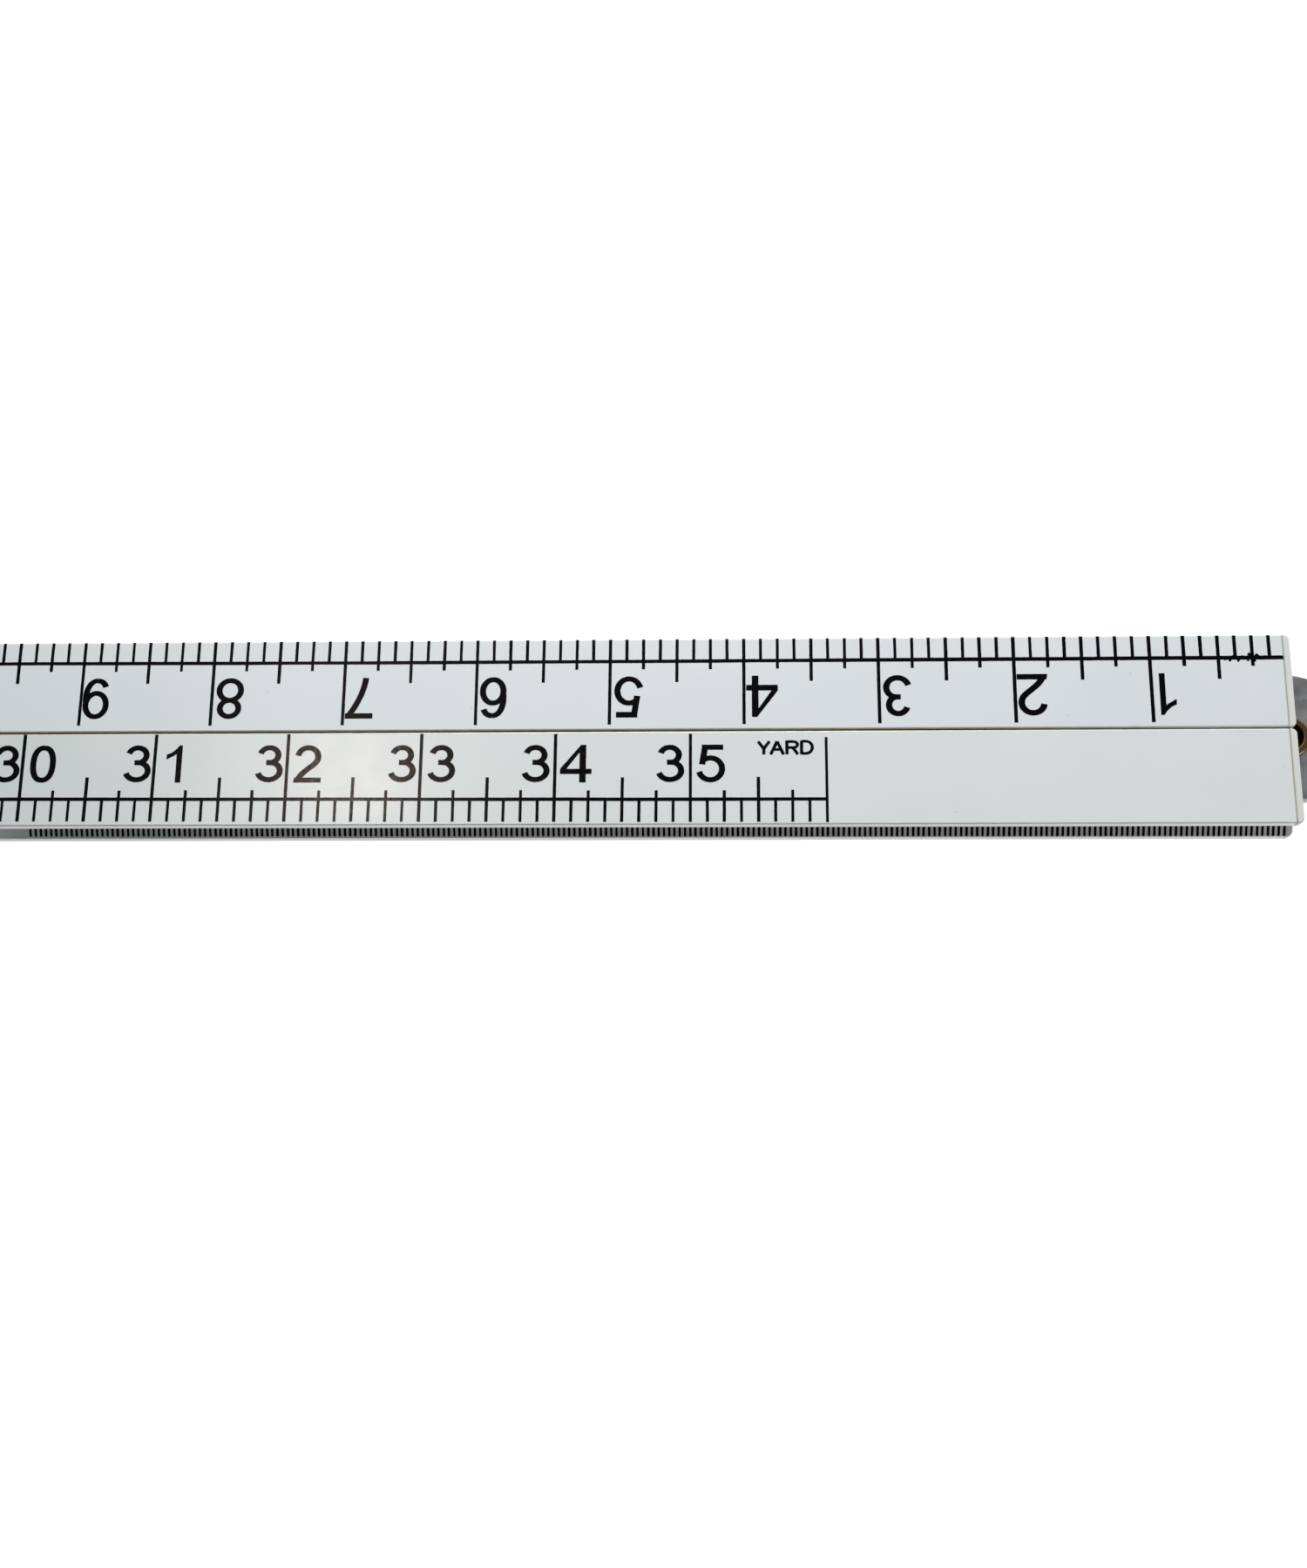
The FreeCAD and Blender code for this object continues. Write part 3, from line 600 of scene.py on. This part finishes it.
class Print:
    """Ink on one face of a leg. p is X in mm, q is the distance from the seam in mm, and numerals stand with
    their tops towards the seam. side is 1 on the far half of the rule and -1 on the near half, out is 1 for
    a face that looks up and -1 for one that looks down, offset is the start of the scale from the hinge, and
    right is the way along X in which it counts and reads."""

    def __init__(self, name, node, body, side, z, out, offset, right, bevelled, seed):
        self.name, self.body = name, body
        self.side, self.z, self.out = side, z, out
        self.offset, self.right, self.bevelled = offset, right, bevelled
        self.random = random.Random(seed)
        self.points, self.faces, self.shapes = [], [], []
        mesh = nodes[node].data
        corners = [vertex.co for vertex in mesh.vertices]
        self.solid = BVHTree.FromPolygons(corners, [polygon.vertices for polygon in mesh.polygons])
        low, high = box_mm(node)
        self.low, self.high = low.x, high.x
        self.edge = max(abs(low.y), abs(high.y))
        self.bevel_start = self.edge - BEVEL_WIDE
        self.ink = ink

        # Stops along X: how far the print has wandered across the leg, and how heavy its lines are
        self.wander = [(0, 0)]
        self.weight = [(0, 1)]

    def x_at(self, distance):
        """X of a graduation at this distance from the scale's start."""
        return HINGE_X + self.offset + self.right * distance

    def height(self, q):
        """How far the face has dropped back at q."""
        if self.bevelled:
            return max(0.0, q - self.bevel_start) * BEVEL_SLOPE
        over = q - (self.edge - EDGE_ROUND)
        return EDGE_ROUND - math.sqrt(max(EDGE_ROUND**2 - over * over, 0)) if over > 0 else 0.0

    def at(self, p, q, lift):
        """The place in metres of a point this far off the face."""
        return Vector((p, self.side * q, self.z + self.out * (lift - self.height(q)))) * MM

    def on_face(self, p, q):
        """True if the leg has its face under this point."""
        start = self.at(p, q, RAY_START)
        hit = self.solid.ray_cast(start, Vector((0, 0, -self.out)), 2 * RAY_START * MM)[0]
        return hit is not None and abs((hit - self.at(p, q, 0)).z) < FACE_TOLERANCE * MM

    def drift(self, p):
        """How far the print has wandered across the leg here."""
        return along(self.wander, p)

    def stroke(self, p, q_from, q_to, wide):
        """A line across the leg, left out where the leg has no face for it. It has a break where the face
        bends, so that it follows the bevel or the rounded edge."""
        wide *= along(self.weight, p)
        tests = (q_from + LINE_END_INSET, (q_from + q_to) / 2, q_to - LINE_END_INSET)
        if not all(self.on_face(p + over, q) for over in (-wide, wide) for q in tests):
            return
        tilt = self.random.uniform(-LINE_LEAN, LINE_LEAN)
        half = wide / 2 * self.random.uniform(1 - LINE_WIDTH, 1 + LINE_WIDTH)
        q_from += self.random.uniform(-LINE_START, LINE_START)
        breaks = [self.bevel_start] if self.bevelled else [self.edge - back for back in ROUND_BREAKS]
        stops = [q_from, *[q for q in breaks if q_from < q < q_to], q_to]
        for start, end in zip(stops, stops[1:]):
            first, last = (p + tilt * (q - q_from) / (q_to - q_from) for q in (start, end))
            near = [(first - half, start), (first + half, start)]
            far = [(last + half, end), (last - half, end)]
            self.shapes.append(near + far)

    def baseline(self, p_from, p_to, q, wide):
        """The long line that the graduations stand on, a little uneven."""
        last, edge = p_from, None
        while last < p_to:
            here = min(last + BASELINE_STEP, p_to)
            heavy, middle = along(self.weight, here), q + self.drift(here)
            new = []
            for way in (-1, 1):
                uneven = self.random.uniform(1 - BASELINE_WIDTH, 1 + BASELINE_WIDTH)
                new.append(middle + way * heavy * wide / 2 * uneven)
            edge = edge or new
            self.shapes.append([(last, edge[0]), (here, new[0]), (here, new[1]), (last, edge[1])])
            last, edge = here, new

    def text(self, letters, p, q_foot, height, width, stroke, gap=0.0):
        """Letters reading on from p, their first edge, left out unless the leg's face is under them all."""
        placed = []
        q_foot += self.drift(p)
        for letter, follows in zip(letters, letters[1:] + " "):
            points, faces, wide = glyph(letter, height, width, stroke)
            placed.append(([(p + self.right * x, q_foot - y) for x, y in points], faces))
            p += self.right * (wide + gap - KERN.get(letter + follows, 0.0) * width)
        for points, _ in placed:
            ps, qs = zip(*points)
            tests = (min(ps), sum(ps) / len(ps), max(ps))
            if not all(self.on_face(across, up) for across in tests for up in (min(qs), max(qs))):
                return
        for points, faces in placed:
            self.take(points, faces)

    def blot(self, p, q, size):
        """A small ragged spot of stray ink."""
        spot = []
        for i in range(BLOT_CORNERS):
            angle = 2 * math.pi * i / BLOT_CORNERS
            reach = size * self.random.uniform(BLOT_RAGGED, 1.0)
            spot.append((p + reach * math.cos(angle), q + self.drift(p) + reach * math.sin(angle)))
        self.shapes.append(spot)

    def take(self, points, faces):
        """Add triangles that are already clean."""
        first = len(self.points)
        self.points += points
        self.faces += [tuple(first + i for i in face) for face in faces]

    def make(self):
        """Turn the outlines into a thin closed solid of ink that follows the face."""
        self.take(*joined(self.shapes))
        upright = self.side * self.out > 0
        count = len(self.points)
        verts = [self.at(p, q, lift) for lift in (INK_TOP, -INK_FOOT) for p, q in self.points]
        polygons = []
        edges = {}
        for face in self.faces:
            if area_of([self.points[i] for i in face]) < 0:
                face = face[::-1]
            polygons.append(face if upright else face[::-1])
            polygons.append(tuple(i + count for i in (face[::-1] if upright else face)))
            edges.update(dict.fromkeys(zip(face, face[1:] + face[:1])))
        for a, b in edges:
            if (b, a) not in edges:
                wall = (a + count, b + count, b, a)
                polygons.append(wall if upright else wall[::-1])
        mesh = bpy.data.meshes.new(self.name)
        mesh.from_pydata(verts, [], polygons)
        mesh.validate()
        mesh.materials.append(self.ink)
        piece = bpy.data.objects.new(self.name, mesh)
        scene.collection.objects.link(piece)
        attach(piece, self.body)


INCH = 25.4

# What the scale reads at the two hinges, in mm from either end of the rule
FIRST_HINGE = 249.5
SECOND_HINGE = 3 * FIRST_HINGE + 2.0

# The kind of each eighth that is more than an eighth, and each kind's width
EIGHTHS = {0: "inch", 4: "half", 2: "quarter", 6: "quarter"}
WIDE = {"inch": 0.50, "half": 0.50, "quarter": 0.47, "eighth": 0.46}


def inch_marks(face, first, last, edge, reach):
    """Eighth-inch graduations from one eighth to another. edge gives their outer end at a place, and reach
    each kind's inner end."""
    for eighth in range(first, last + 1):
        kind = EIGHTHS.get(eighth % 8, "eighth")
        x = face.x_at(eighth * INCH / 8)
        face.stroke(x, reach[kind] + face.drift(x), edge(x), WIDE[kind])


# The baselines' widths and distance from the leg's ends
BASE_WIDE_1 = 0.56
BASE_WIDE_2 = 0.54
BASE_INSET = 0.4

# Leg 1, printed face: inches 1 to 9, from the free end. Each gap is from a numeral to its inch line.
REACH_1 = {"inch": 1.5, "half": 9.9, "quarter": 12.4, "eighth": 14.0}
BASE_1 = 14.05
BASE_1_START = 0.63
EDGE_1_INSET = 0.06
NUMERAL_FOOT_1 = 11.05
NUMERAL_HEIGHT_1 = 8.2
NUMERAL_WIDE_1 = {2: 5.75}
NUMERAL_USUAL_1 = 5.3
GAP_BEFORE_LINE = {1: 1.45, 2: 0.4, 3: 0.75, 4: 0.4, 5: 0.85, 6: 0.65, 7: 0.4, 8: 0.8, 9: 0.35}
STROKE_1 = [(1, 1.26), (4, 1.20), (9, 1.15)]

leg_1 = Print("print_leg_1", "leg_1", "section_1", 1, TOP_Z, 1, FIRST_HINGE, -1, False, 11)
leg_1.ink = dull_ink
leg_1.wander = [(-123, 0.0), (-90, -0.16), (-35, -0.30)]
leg_1.weight = [(-55, 1.23), (-10, 1.26), (58, 1.31), (118, 1.46)]
inch_marks(leg_1, 1, 78, lambda x: leg_1.edge - EDGE_1_INSET, REACH_1)
leg_1.baseline(leg_1.low + BASE_INSET, leg_1.x_at(BASE_1_START), BASE_1, BASE_WIDE_1)
for inch, gap in GAP_BEFORE_LINE.items():
    width = NUMERAL_WIDE_1.get(inch, NUMERAL_USUAL_1)
    wide = width * GLYPHS[str(inch)][0]
    start = leg_1.x_at(inch * INCH) + gap + wide
    leg_1.text(str(inch), start, NUMERAL_FOOT_1, NUMERAL_HEIGHT_1, width, along(STROKE_1, inch))

# Stray ink on leg 1's baseline: distance along the scale, distance over the baseline, and size
BLOTS = [
    (11.4, -0.30, 0.36), (10.6, -0.42, 0.42), (9.9, 0.35, 0.34), (9.0, -0.46, 0.44), (8.2, 0.30, 0.30),
    (7.2, -0.38, 0.40), (7.0, 0.66, 0.50), (6.0, -0.60, 0.42), (5.6, 0.45, 0.55), (4.8, -0.20, 0.46),
    (4.1, 0.28, 0.32),
]
for distance, over, size in BLOTS:
    leg_1.blot(leg_1.x_at(distance), BASE_1 + over, size)

# Legs 2, 3 and 4, printed faces: two-digit inches, each number astride its line
REACH_2 = {"inch": 0.35, "half": 8.9, "quarter": 11.4, "eighth": 13.0}
BASE_2 = 13.15
EDGE_2 = 17.5
WEIGHT_2 = 1.24
DIGIT_HEIGHT = 7.35
DIGIT_WIDE = 5.25
DIGIT_STROKE = 1.17
DIGIT_FOOT = 9.9
LINE_TO_TENS = 0.70
LINE_TO_UNITS = 0.82
TENS_GAP = {"1": 1.9}
TENS_USUAL_GAP = 0.42
UNITS_GAP = {"1": 1.24, "2": 0.38, "4": 0.1}
UNITS_USUAL_GAP = 0.45


def astride(face, inch, tens_drift=0.0, units_drift=0.0):
    """A two-digit number with its inch line between the digits."""
    line = face.x_at(inch * INCH)
    tens, units = str(inch)
    size = (DIGIT_FOOT, DIGIT_HEIGHT, DIGIT_WIDE, DIGIT_STROKE)
    wide = DIGIT_WIDE * GLYPHS[tens][0]
    before = LINE_TO_TENS + TENS_GAP.get(tens, TENS_USUAL_GAP) + wide - tens_drift
    after = LINE_TO_UNITS + UNITS_GAP.get(units, UNITS_USUAL_GAP) + units_drift
    face.text(tens, line - face.right * before, *size)
    face.text(units, line + face.right * after, *size)


def inch_leg(name, node, body, side, z, out, offset, right, first, last, seed, wander=((0, 0),)):
    """A leg's print with its eighths from first to last."""
    face = Print(name, node, body, side, z, out, offset, right, False, seed)
    face.wander = wander
    face.weight = [(0, WEIGHT_2)]
    inch_marks(face, first, last, lambda x: EDGE_2 + face.drift(x), REACH_2)
    return face


leg_2 = inch_leg("print_leg_2", "leg_2", "section_2", 1, 0.0, -1, -FIRST_HINGE, 1, 79, 157, 22)
leg_2.baseline(leg_2.low + BASE_INSET, leg_2.high - BASE_INSET, BASE_2, BASE_WIDE_2)
for inch in range(10, 20):
    astride(leg_2, inch)

leg_3 = inch_leg("print_leg_3", "leg_3", "section_3", -1, 0.0, -1, SECOND_HINGE, -1, 158, 236, 33)
leg_3.baseline(leg_3.low + BASE_INSET, leg_3.high - BASE_INSET, BASE_2, BASE_WIDE_2)
for inch in range(20, 30):
    astride(leg_3, inch)

# Leg 4's print is off its ideal place, and its digits stand nearer to their lines towards the hinge
PRINT_SHIFT_4 = -0.68
WANDER_4 = [(-123, -0.10), (5, 0.30)]
LAST_PAIR = 35
TENS_DRIFT = 0.13
UNITS_DRIFT = 0.04
OFFSET_4 = -SECOND_HINGE + PRINT_SHIFT_4

# The yard line's ends and width, and the unit word's place before it, foot, height, letter width and stroke
YARD_LINE = (1.5, 17.9, 0.44)
UNIT_BEFORE = 13.1
UNIT_SIZE = (4.6, 2.9, 2.75, 0.62)

leg_4 = inch_leg("print_leg_4", "leg_4", "section_4", -1, TOP_Z, 1, OFFSET_4, 1, 237, 287, 44, WANDER_4)
yard = leg_4.x_at(36 * INCH)
leg_4.stroke(yard, *YARD_LINE)
leg_4.baseline(leg_4.low + BASE_INSET, yard, BASE_2, BASE_WIDE_2)
for inch in range(30, LAST_PAIR + 1):
    astride(leg_4, inch, TENS_DRIFT * (LAST_PAIR - inch), UNITS_DRIFT * (LAST_PAIR - inch))
leg_4.text("YARD", yard - UNIT_BEFORE, *UNIT_SIZE)

# Inner faces: millimetres on the bevel, inset a little from its thin edge, and centimetre numerals on the flat
MM_EDGE_INSET = [(-110, 0.42), (110, 0.06)]
MM_LENGTH = {"centimetre": 6.8, "five": 4.6, "one": 3.3}
MM_WIDE = 0.48
HINGE_CLEARANCE = 9.8
CM_FOOT = 10.3
CM_HEIGHT = 5.2
CM_WIDE = 3.3
CM_STROKE = 0.66
CM_GAP = 0.55
PRINT_SHIFT_3 = 0.16


def metric_leg(name, node, body, side, z, out, offset, right, first, last, seed):
    """A leg's inner print from one millimetre to another, with none beside the hinge leaf."""
    face = Print(name, node, body, side, z, out, offset, right, True, seed)
    for mark in range(first, last + 1):
        kind = "centimetre" if mark % 10 == 0 else "five" if mark % 5 == 0 else "one"
        x = face.x_at(mark)
        if x < HINGE_X + HINGE_CLEARANCE:
            continue
        end = face.edge - along(MM_EDGE_INSET, x)
        face.stroke(x, end - MM_LENGTH[kind], end, MM_WIDE)
        if mark % 10 == 0 and mark:
            text = str(mark // 10)
            total = sum(CM_WIDE * GLYPHS[digit][0] for digit in text) + CM_GAP * (len(text) - 1)
            face.text(text, x - right * total / 2, CM_FOOT, CM_HEIGHT, CM_WIDE, CM_STROKE, CM_GAP)
    return face


INNER_3 = -FIRST_HINGE + PRINT_SHIFT_3
faces = [
    leg_1, leg_2, leg_3, leg_4,
    metric_leg("print_inner_4", "leg_4", "section_4", -1, UPPER_INNER_Z, -1, FIRST_HINGE, -1, 0, 249, 55),
    metric_leg("print_inner_3", "leg_3", "section_3", -1, LOWER_INNER_Z, 1, INNER_3, 1, 250, 499, 66),
    metric_leg("print_inner_2", "leg_2", "section_2", 1, LOWER_INNER_Z, 1, SECOND_HINGE, -1, 501, 749, 77),
    metric_leg("print_inner_1", "leg_1", "section_1", 1, UPPER_INNER_Z, -1, -SECOND_HINGE, 1, 750, 1000, 88),
]
for face in faces:
    face.make()


# ---------------------------------------------------------------- floor, sky and lamps

FLOOR_Z = -0.00008
FLOOR_HALF = 3.0
FLOOR_GLOW = 0.95
EYELET_PAINTED_SHADOW_MM = (3.0, 4.0)

# A pale floor that glows evenly, with a painted shadow where its glow is cut out straight under the eyelet
floor_mesh = bpy.data.meshes.new("floor")
floor_ring = [(x * FLOOR_HALF, y * FLOOR_HALF, FLOOR_Z) for x, y in ((-1, -1), (1, -1), (1, 1), (-1, 1))]
floor_mesh.from_pydata(floor_ring, [], [(0, 1, 2, 3)])
floor = bpy.data.objects.new("floor", floor_mesh)
scene.collection.objects.link(floor)
paper = Shader("floor_paper")
paper.finish(colour=(0.25, 0.25, 0.25, 1), rough=0.9)
paper.surface.inputs["Emission Color"].default_value = (1, 1, 1, 1)
spot = paper.add("ShaderNodeVectorMath", operation="DISTANCE")
paper.put(spot.inputs[0], paper.place)
spot.inputs[1].default_value = (PIVOT_X * MM, 0, FLOOR_Z)
inner, outer = (radius * MM for radius in EYELET_PAINTED_SHADOW_MM)
# Painted shadow: no emission within the inner radius under the eyelet, rising to full beyond the outer.
glow = paper.span(spot.outputs["Value"], inner, outer, 0.0, FLOOR_GLOW)
paper.put(paper.surface.inputs["Emission Strength"], glow)
floor_mesh.materials.append(paper.material)

# A sky that is dark overhead, where the faces mirror it, and on the near side, with a pale backdrop
BACKDROP = 0.93
world = bpy.data.worlds.new("studio")
world.use_nodes = True
scene.world = world
sky = world.node_tree
direction = sky.nodes.new("ShaderNodeTexCoord")
axes = sky.nodes.new("ShaderNodeSeparateXYZ")
sky.links.new(direction.outputs["Generated"], axes.inputs[0])


def sky_fade(axis, start, end, from_value, to_value):
    """Smoothly changing strength along one axis of the sky."""
    fade = sky.nodes.new("ShaderNodeMapRange")
    fade.interpolation_type = "SMOOTHSTEP"
    for socket, given in zip(list(fade.inputs)[1:5], (start, end, from_value, to_value)):
        socket.default_value = given
    sky.links.new(axes.outputs[axis], fade.inputs[0])
    return fade.outputs[0]


# Each fade: its axis, where it starts and ends, and the strength before and after
DARK_OVERHEAD = ("Z", 0.55, 0.84, 1.3, 0.05)
DARK_NEAR_SIDE = ("Y", -0.30, 0.25, 0.04, 1.0)

both = sky.nodes.new("ShaderNodeMath")
both.operation = "MULTIPLY"
sky.links.new(sky_fade(*DARK_OVERHEAD), both.inputs[0])
sky.links.new(sky_fade(*DARK_NEAR_SIDE), both.inputs[1])
seen = sky.nodes.new("ShaderNodeMix")
sky.links.new(sky.nodes.new("ShaderNodeLightPath").outputs["Is Camera Ray"], seen.inputs[0])
sky.links.new(both.outputs[0], seen.inputs[2])
seen.inputs[3].default_value = BACKDROP
sky.links.new(seen.outputs[0], sky.nodes["Background"].inputs["Strength"])
sky.nodes["Background"].inputs["Color"].default_value = (1, 1, 1, 1)

# Each lamp: its place, the point it faces, its size and its watts
LAMPS = {
    "lamp_main": ((0.0, 0.42, 0.38), (0, 0, 0), 0.28, 3.2),
    "lamp_right": ((0.50, -0.30, 0.30), (0.05, 0, 0), 0.26, 0.8),
    "lamp_left": ((-0.60, 0.05, 0.50), (-0.05, 0, 0), 0.30, 0.3),
}
for name, settings in LAMPS.items():
    area_light(name, *settings)

# A small warm lamp whose mirror image falls on leg 4's print as the photo's camera sees it
GLARE_SPOT = Vector((-0.057, -0.008, TOP_Z * MM))
GLARE_AWAY = 0.8
GLARE_SIZE = 0.05
GLARE_WATTS = 0.16
GLARE_COLOUR = (1.0, 0.80, 0.70)
mirrored = GLARE_SPOT - Vector(CAMERA_PLACE)
mirrored.z = -mirrored.z
glare_place = GLARE_SPOT + mirrored.normalized() * GLARE_AWAY
area_light("lamp_glare", glare_place, GLARE_SPOT, GLARE_SIZE, GLARE_WATTS, GLARE_COLOUR)
